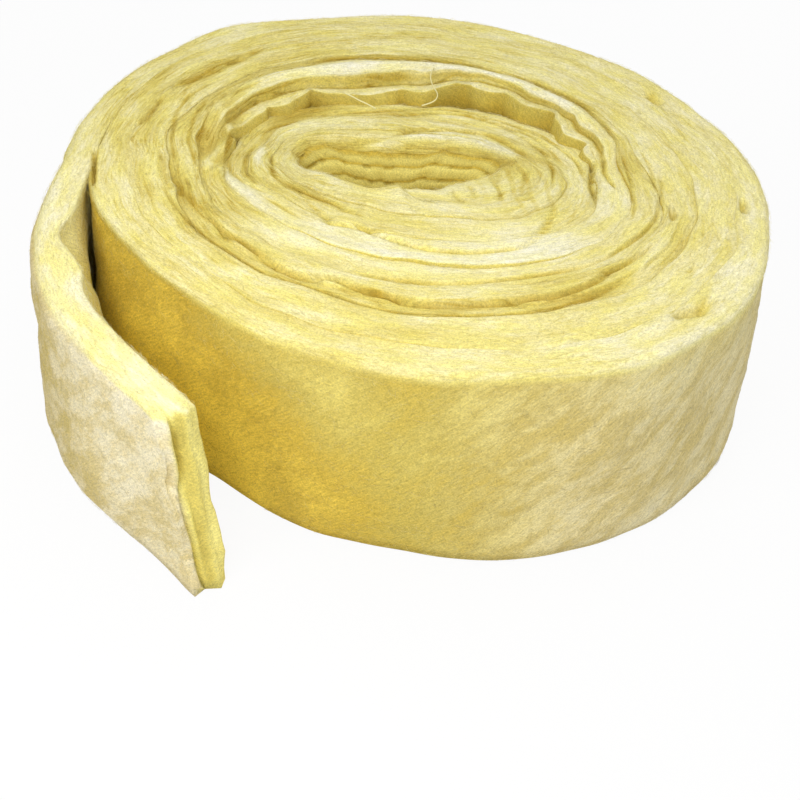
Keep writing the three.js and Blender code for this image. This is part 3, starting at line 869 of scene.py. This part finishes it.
# the crumpled plies right of the bore
towards_front = joined(tree, "Mapping", {"vector_type": "TEXTURE"}, Vector=object_place,
                       Location=FAN_MIDDLE, Scale=(0.021, 0.025, 0.030), Rotation=(0, 0, 0.15))
from_middle = joined(tree, "VectorMath", {"operation": "LENGTH"}, _0=towards_front.outputs[0]).outputs["Value"]
within_fan = fitted(tree, from_middle, 0.45, 1.0, 1.0, 0.0)
waves = joined(tree, "TexWave", {"wave_type": "BANDS", "bands_direction": "X"}, Vector=towards_front.outputs[0],
               Scale=1.15, Distortion=3.0, Detail=1.0, Detail_Scale=1.0)
fan = product(tree, fitted(tree, waves.outputs["Fac"], 0.55, 1.0, -0.4, 1.0), within_fan)
# on the walls: felted flecks, whitish drifts that run aslant, and grain
flecks = noise(tree, laid_place, (0.0030, 0.0010, 0.0006), detail=3, rotation=(0, 0.7, 0), roughness=0.65)
drifts = noise(tree, laid_place, (0.016, 0.008, 0.0065), detail=4, rotation=(0, 0.75, 0), roughness=0.7)
clouds = noise(tree, object_place, (0.020, 0.020, 0.020), detail=3, roughness=0.6)
blotches = noise(tree, laid_place, (0.016, 0.0045, 0.008), detail=3, rotation=(0, 0.3, 0), roughness=0.6)
grain = noise(tree, object_place, (0.0006, 0.0006, 0.0006), detail=3, roughness=0.7)
more_on_cream = plus(tree, 0.05, cream, 0.28)
aslant = product(tree, fitted(tree, drifts, 0.36, 0.64, -0.5, 0.5), more_on_cream)
# Where the lines, the strata and the fan's pleats sink the cut face, they are painted golder and darker too: painted
# shade in their hollows.
on_cut = weighed(tree, 0.0, (strata, 0.34), (clouds, 0.22), (blotches, 0.10))
on_cut = plus(tree, plus(tree, on_cut, ply_lines, 0.22), thin_lines, 0.24)
on_cut = plus(tree, plus(tree, gold, on_cut, lively), fan, 0.12)
on_wall = weighed(tree, gold, (flecks, 0.08), (clouds, 0.07))
shade = between(tree, cut, plus(tree, on_wall, aslant, 1.0), on_cut)
lemon = ramp(tree, shade, (0.0, (245, 240, 192)), (0.30, (241, 232, 156)), (0.50, (232, 219, 128)),
             (0.66, (217, 200, 103)), (0.84, (197, 175, 82)), (1.0, (172, 148, 64)))
whitish = ramp(tree, shade, (0.0, (246, 242, 218)), (0.30, (242, 235, 190)), (0.50, (234, 223, 156)),
               (0.66, (220, 203, 116)), (0.84, (202, 177, 80)), (1.0, (178, 149, 56)))
pale = fitted(tree, blotches, 0.36, 0.64)
lemon = mixed(tree, pale, lemon, whitish)
# On the walls the golder end is painted lighter: painted light against the tail's shadow.
honey = ramp(tree, shade, (0.0, (244, 238, 190)), (0.30, (240, 231, 150)), (0.50, (230, 215, 120)),
             (0.66, (201, 182, 90)), (0.82, (206, 178, 72)), (1.0, (250, 221, 94)))
lemon = mixed(tree, cut, honey, lemon)
creamy = ramp(tree, shade, (0.0, (240, 234, 212)), (0.35, (230, 218, 180)), (0.55, (218, 202, 152)),
              (0.75, (206, 187, 120)), (1.0, (200, 176, 92)))
colour = mixed(tree, cream, lemon, creamy)
speckled = weighed(tree, 1.0, (grain, 1.15), (between(tree, cut, flecks, fuzz), 0.80))
colour = mixed(tree, 1.0, colour, speckled, "MULTIPLY")
tree.links.new(colour, surface.inputs["Base Color"])
cut_height = weighed(tree, 0.0, (ply_lines, -0.25), (thin_lines, -0.30), (strata, -0.80))
cut_height = product(tree, cut_height, lively)
cut_height = weighed(tree, cut_height, (fuzz, 0.50), (grain, 0.25), (fan, -0.45))
wall_height = weighed(tree, 0.0, (flecks, 0.35), (grain, 0.25), (drifts, -0.15))
bump = joined(tree, "Bump", Strength=0.5, Distance=0.0007, Height=between(tree, cut, wall_height, cut_height))
tree.links.new(bump.outputs[0], surface.inputs["Normal"])
strip_mesh.materials.append(wool)

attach(strip, "root")
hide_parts("insulation_strip")


# --- Loose fibres -------------------------------------------------------------------------------
# Ends and strands of glass that stand out of the wool: a mat of short ones and longer strands lying
# along the cut face, flecks on the walls, and fine hairs on every edge. They are held only by being
# matted into the strip.

HALF_THICKNESS = PRESSED_THICKNESS / 2
NEARBY = 0.0004                            # close enough to tell which way the wool's surface faces
EMBEDDED = 0.00005                         # how deep a fibre's ends go into the wool
FREE_SHARE = 0.25                          # of the fibres stand off at one end, the others at their middle
OUTSIDE_SHARE = 0.75                       # of the flecks are on the outer wall


def over_edge(girth):
    """Across and up, from a distance round the strip that starts at the middle of its upper end."""
    past = np.maximum(np.abs(girth) - HALF_THICKNESS, 0)
    return 0.5 + np.clip(girth / PRESSED_THICKNESS, -0.5, 0.5), 1 - past / STRIP_WIDTH


def lay_on(along, girth):
    along = np.clip(along, 0.0005, STRIP_LENGTH - 0.0005)
    return lay(along, *over_edge(girth))


def drawn_out(mesh_maker, rim, tip):
    """Closes an open rim to a point."""
    point = bmesh.ops.extrude_edge_only(mesh_maker, edges=rim)["geom"]
    point = [v for v in point if isinstance(v, bmesh.types.BMVert)]
    bmesh.ops.pointmerge(mesh_maker, verts=point, merge_co=(0, 0, tip))


def spindle(rings):
    """One fibre: a thin straight spindle of three sides with a point at each end, from 0 to 1 in z."""
    mesh_maker = bmesh.new()
    bmesh.ops.create_cone(mesh_maker, segments=3, radius1=1, radius2=1, depth=1, cap_ends=False)
    sides = [e for e in mesh_maker.edges if abs(e.verts[0].co.z - e.verts[1].co.z) > 0.5]
    if rings > 2:
        bmesh.ops.subdivide_edges(mesh_maker, edges=sides, cuts=rings - 2)
    if rings == 1:
        bmesh.ops.pointmerge(mesh_maker, verts=[v for v in mesh_maker.verts if v.co.z > 0], merge_co=(0, 0, 0.5))
        drawn_out(mesh_maker, [e for e in mesh_maker.edges if e.is_boundary], -1.5)
    else:
        for end in (-0.5, 0.5):
            rim = [e for e in mesh_maker.edges if all(abs(v.co.z - end) < 0.01 for v in e.verts)]
            drawn_out(mesh_maker, rim, end * 3)
    low = min(v.co.z for v in mesh_maker.verts)
    high = max(v.co.z for v in mesh_maker.verts)
    for vert in mesh_maker.verts:
        vert.co.z = (vert.co.z - low) / (high - low)
    bmesh.ops.recalc_face_normals(mesh_maker, faces=mesh_maker.faces)
    return built(mesh_maker, "fibre")


def many(mesh, count):
    """That many copies of a mesh, joined in one, all in the same place."""
    pattern = placed_in_scene("pattern", mesh)
    copies = pattern.modifiers.new("copies", "ARRAY")
    copies.count = count
    copies.use_relative_offset = False
    joined_mesh = bpy.data.meshes.new_from_object(pattern.evaluated_get(bpy.context.evaluated_depsgraph_get()))
    bpy.data.objects.remove(pattern)
    bpy.data.meshes.remove(mesh)
    return joined_mesh


def finished(mesh, name, place, tone):
    """The loose piece that these corners and tones make of a mesh."""
    mesh.vertices.foreach_set("co", place.ravel())
    mesh.attributes.new("wool_tone", "FLOAT_COLOR", "POINT").data.foreach_set("color", tone.ravel())
    mesh.name = name
    mesh.polygons.foreach_set("use_smooth", np.ones(len(mesh.polygons), bool))
    mesh.update()
    mesh.materials.clear()
    mesh.materials.append(strand)
    piece = placed_in_scene(name, mesh)
    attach(piece, "root")
    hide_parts("insulation_strip")


def scatter(name, rings, count, seed, where, length, lean, radius, lift, paler):
    """Fibres laid on the strip. where gives the starts: along and round the strip. lift is how far the
    middle or the free end stands off the wool."""
    draw = np.random.default_rng(seed)
    along, girth = where(draw, count)
    size = draw.uniform(*length, count)
    angle = draw.normal(0, lean, count)
    bend = draw.normal(0, 0.25, count) * size
    thick = draw.uniform(*radius, count)
    rise = draw.uniform(*lift, count)
    free = draw.random(count) < FREE_SHARE
    root, tone = lay_on(along, girth)
    further, _ = lay_on(along + NEARBY, girth)
    beside, _ = lay_on(along, girth + NEARBY)
    normal = np.cross(further - root, beside - root)
    normal /= np.linalg.norm(normal, axis=1)[:, None] + 1e-12

    fibre = many(spindle(rings), count)
    shape = corners(fibre, count)
    spots = np.unique(shape[0, :, 2].round(3))
    line = []
    for spot in spots:
        where_along = along + size * np.cos(angle) * (spot - 0.5)
        where_girth = girth + size * np.sin(angle) * (spot - 0.5) + bend * (spot - 0.5) ** 2
        point, _ = lay_on(where_along, where_girth)
        off = np.where(free, rise * 2 * spot ** 2, rise * 4 * spot * (1 - spot)) - EMBEDDED
        line.append(point + normal * off[:, None])
    line = np.array(line)
    heading = line[-1] - line[0]
    heading /= np.linalg.norm(heading, axis=1)[:, None] + 1e-12
    sideways = np.cross(heading, normal)
    placed = np.empty_like(shape)
    for i in range(shape.shape[1]):
        spot = np.argmin(np.abs(spots - shape[0, i, 2]))
        placed[:, i] = (line[spot] + sideways * (shape[:, i, 0] * thick)[:, None]
                        + normal * (shape[:, i, 1] * thick)[:, None])
    placed[..., 2] = np.maximum(placed[..., 2], 0.0001)
    tone[:, 0] += draw.normal(-paler, 0.06, count)
    finished(fibre, name, placed, np.repeat(tone, shape.shape[1], axis=0))


strand, tree, surface, gold, cream, _, _ = glass("glass_strand", roughness=0.7, specular=0.15)
lemon = ramp(tree, gold, (0.0, (248, 243, 202)), (0.35, (242, 232, 160)), (0.65, (224, 206, 112)),
             (1.0, (206, 178, 66)))
creamy = ramp(tree, gold, (0.0, (232, 225, 192)), (0.5, (218, 204, 156)), (1.0, (196, 174, 100)))
colour = mixed(tree, cream, lemon, creamy)
tree.links.new(colour, surface.inputs["Base Color"])


def on_cut_face(draw, count):
    along = draw.uniform(0, STRIP_LENGTH, count)
    return along, draw.uniform(-1, 1, count) * HALF_THICKNESS


# How far along the strip the tail ends, and the outermost wall.
TAIL_END, WALL_END = np.interp((0, 1.05), station_turn, station_along)


def on_walls(draw, count):
    outside = draw.random(count) < OUTSIDE_SHARE
    along = np.where(outside, draw.uniform(0, WALL_END, count), draw.uniform(0, TAIL_END, count))
    down = HALF_THICKNESS + draw.uniform(0, STRIP_WIDTH - 0.001, count)
    return along, np.where(outside, down, -down)


def on_edges(draw, count):
    along = draw.uniform(0, STRIP_LENGTH, count)
    side = np.where(draw.random(count) < 0.5, 1, -1)
    return along, side * (HALF_THICKNESS + draw.normal(0, 0.0015, count))


scatter("matted_fibres", rings=1, count=32000, seed=21, where=on_cut_face, length=(0.0015, 0.005),
        lean=0.50, radius=(0.00003, 0.00006), lift=(0.00005, 0.0002), paler=0.08)
scatter("lying_strands", rings=2, count=10000, seed=22, where=on_cut_face, length=(0.005, 0.012),
        lean=0.22, radius=(0.00003, 0.00005), lift=(0.00005, 0.0002), paler=0.10)
scatter("wall_flecks", rings=1, count=26000, seed=23, where=on_walls, length=(0.0015, 0.006),
        lean=1.0, radius=(0.00003, 0.00006), lift=(0.00002, 0.00015), paler=0.22)
scatter("edge_hairs", rings=2, count=16000, seed=24, where=on_edges, length=(0.003, 0.007),
        lean=0.8, radius=(0.00002, 0.00004), lift=(0.0003, 0.0009), paler=0.12)

# Two long threads have come loose and lie over the crescent: the pixels of the photo at which they are
# seen, how high they are there, and how far above that they are laid, in millimetres.
THREADS = (
    ((434, 68, 77, 0), (431, 74, 76.5, 0.3), (430, 82, 75, 1.2), (433, 90, 74, 1), (438, 97, 72.5, 1.1),
     (436, 103, 71, 1), (430, 106, 70.2, 0.8), (421, 108, 70, 0.6)),
    ((344, 96, 73.5, 1), (352, 99, 73, 0.8), (360, 103, 72, 0.6), (367, 106, 71, 0.6), (376, 111, 70, 0.6)),
)
THREADS_MOVED = (0, -0.0012, 0.0010)       # clear of the wool under them
THREAD_RADIUS = 0.00030
threads = many(spindle(60), len(THREADS))
shape = corners(threads, len(THREADS))
for i, course in enumerate(THREADS):
    *pixels, height, raised = np.array(course).T
    height, raised = height / 1000, raised / 1000
    course = np.column_stack([seen_at(np.transpose(pixels), height), height + raised]) + THREADS_MOVED
    for _ in range(4):
        rounder = np.stack([0.75 * course[:-1] + 0.25 * course[1:], 0.25 * course[:-1] + 0.75 * course[1:]], axis=1)
        course = np.concatenate([course[:1], rounder.reshape(-1, 3), course[-1:]])
    lengths = np.concatenate([[0], np.cumsum(np.linalg.norm(np.diff(course, axis=0), axis=1))])
    spot = np.clip(0.02 + 0.96 * (shape[i, :, 2] * 3 - 1), 0, 1) * lengths[-1]
    middle, ahead, behind = (np.stack([np.interp(spot + on, lengths, axis) for axis in course.T], axis=1)
                             for on in (0, 0.0005, -0.0005))
    heading = (ahead - behind) / np.linalg.norm(ahead - behind, axis=1)[:, None]
    sideways = np.cross(heading, (0, 0, 1))
    sideways /= np.linalg.norm(sideways, axis=1)[:, None]
    round_it = sideways * shape[i, :, :1] + np.cross(sideways, heading) * shape[i, :, 1:2]
    shape[i] = middle + THREAD_RADIUS * round_it
finished(threads, "loose_threads", shape, np.tile((0.22, 0.0, 1.0, 0.0), len(threads.vertices)))


# --- Floor and lights ---------------------------------------------------------------------------
# A pale sweep and soft lamps.

FLOOR_HALF_SIDE = 6
GLOWING_SHARE = 0.93                       # of the floor as it is seen; the rest shows the roll's shadow
AIMED_AT = Vector((0, 0, 0.03))            # by the lamps

floor_bm = bmesh.new()
bmesh.ops.create_grid(floor_bm, x_segments=1, y_segments=1, size=FLOOR_HALF_SIDE)
floor_mesh = built(floor_bm, "floor")
floor = placed_in_scene("floor", floor_mesh)
paper, tree = new_material("white_paper")
tree.nodes.remove(tree.nodes["Principled BSDF"])
matt = joined(tree, "BsdfDiffuse", Color=(0.85, 0.85, 0.85, 1))
glow = joined(tree, "Emission", Strength=1)
rays = joined(tree, "LightPath").outputs
seen = maths(tree, "ADD", rays["Is Camera Ray"], rays["Is Glossy Ray"], clamp=True)
seen = maths(tree, "ADD", seen, rays["Is Transmission Ray"], clamp=True)
part = product(tree, seen, GLOWING_SHARE)
mix = joined(tree, "MixShader", Fac=part, _1=matt.outputs[0], _2=glow.outputs[0])
tree.links.new(mix.outputs[0], tree.nodes["Material Output"].inputs["Surface"])
floor_mesh.materials.append(paper)

world = bpy.data.worlds.new("studio")
world.use_nodes = True
sky = world.node_tree.nodes["Background"]
sky.inputs["Color"].default_value = (1, 1, 1, 1)
sky.inputs["Strength"].default_value = 0.40
bpy.context.scene.world = world

for name, place, size, energy in (
        ("top_lamp", (0.1, 0.3, 0.9), 0.9, 3.4), ("front_lamp", (0.0, -0.72, 0.60), 0.35, 0.64),
        ("near_lamp", (-0.12, -0.30, 0.30), 0.2, 0.76), ("left_lamp", (-0.8, -0.4, 0.4), 0.7, 0.4),
        ("right_lamp", (0.8, -0.5, 0.45), 0.7, 1.3)):
    lamp = bpy.data.lights.new(name, "AREA")
    lamp.size = size
    lamp.energy = energy
    lamp_object = placed_in_scene(name, lamp)
    lamp_object.location = place
    lamp_object.rotation_euler = (AIMED_AT - Vector(place)).to_track_quat("-Z", "Y").to_euler()

bpy.context.scene.view_settings.view_transform = "Standard"
